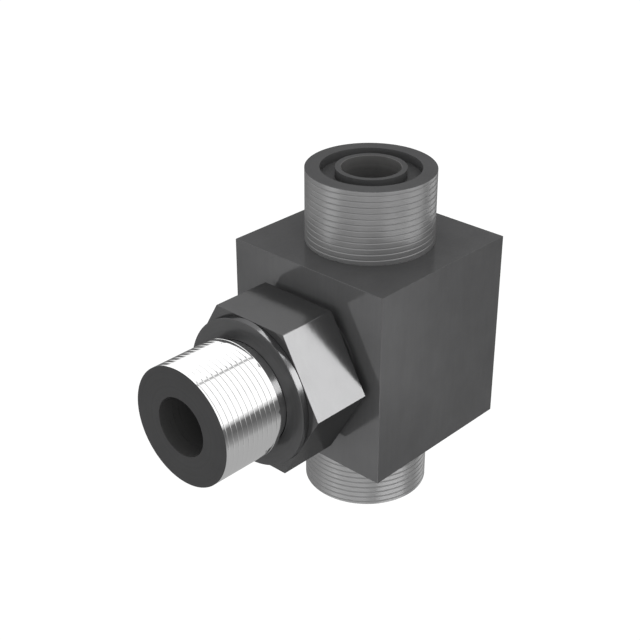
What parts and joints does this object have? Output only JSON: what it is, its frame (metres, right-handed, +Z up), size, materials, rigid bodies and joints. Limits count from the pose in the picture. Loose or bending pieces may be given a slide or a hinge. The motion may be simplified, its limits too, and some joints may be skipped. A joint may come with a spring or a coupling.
{
  "type": "tee adapter",
  "caption": "Block tee for hydraulic tube lines: two threaded face-seal run ends and an adjustable threaded branch stud with a locknut and a back-up washer.",
  "frame": {"origin": "where the axis of the run and the axis of the branch cross, at the middle of the block", "axes": "+Z up along the run, the branch points along -Y, +X is to the right as one looks at the branch's end from the front"},
  "size_m": [0.0304, 0.0558, 0.0564],
  "materials": {
    "body_steel": "dark bright-plated steel, machined",
    "stud_steel": "dark bright-plated steel, turned",
    "nut_steel": "dark bright-plated steel, machined",
    "washer_steel": "dark bright-plated steel, stamped"
  },
  "bodies": {
    "body": {"tee_body": "body_steel", "branch_stud": "stud_steel"},
    "washer": {"backup_washer": "washer_steel"},
    "nut": {"locknut": "nut_steel"}
  },
  "joints": [
    {"name": "washer_slide", "type": "slide", "parent": "body", "child": "washer", "axis": [0, -1, 0], "range_m": [-0.0015, 0.0019]},
    {"name": "locknut_turn", "type": "hinge", "parent": "washer", "child": "nut", "pos_m": [0, -0.0217, 0], "axis": [0, -1, 0], "range_deg": [-340, 430]}
  ],
  "couplings": [
    {"joint": "washer_slide", "follows": "locknut_turn", "m_per_rad": 0.00025266}
  ]
}
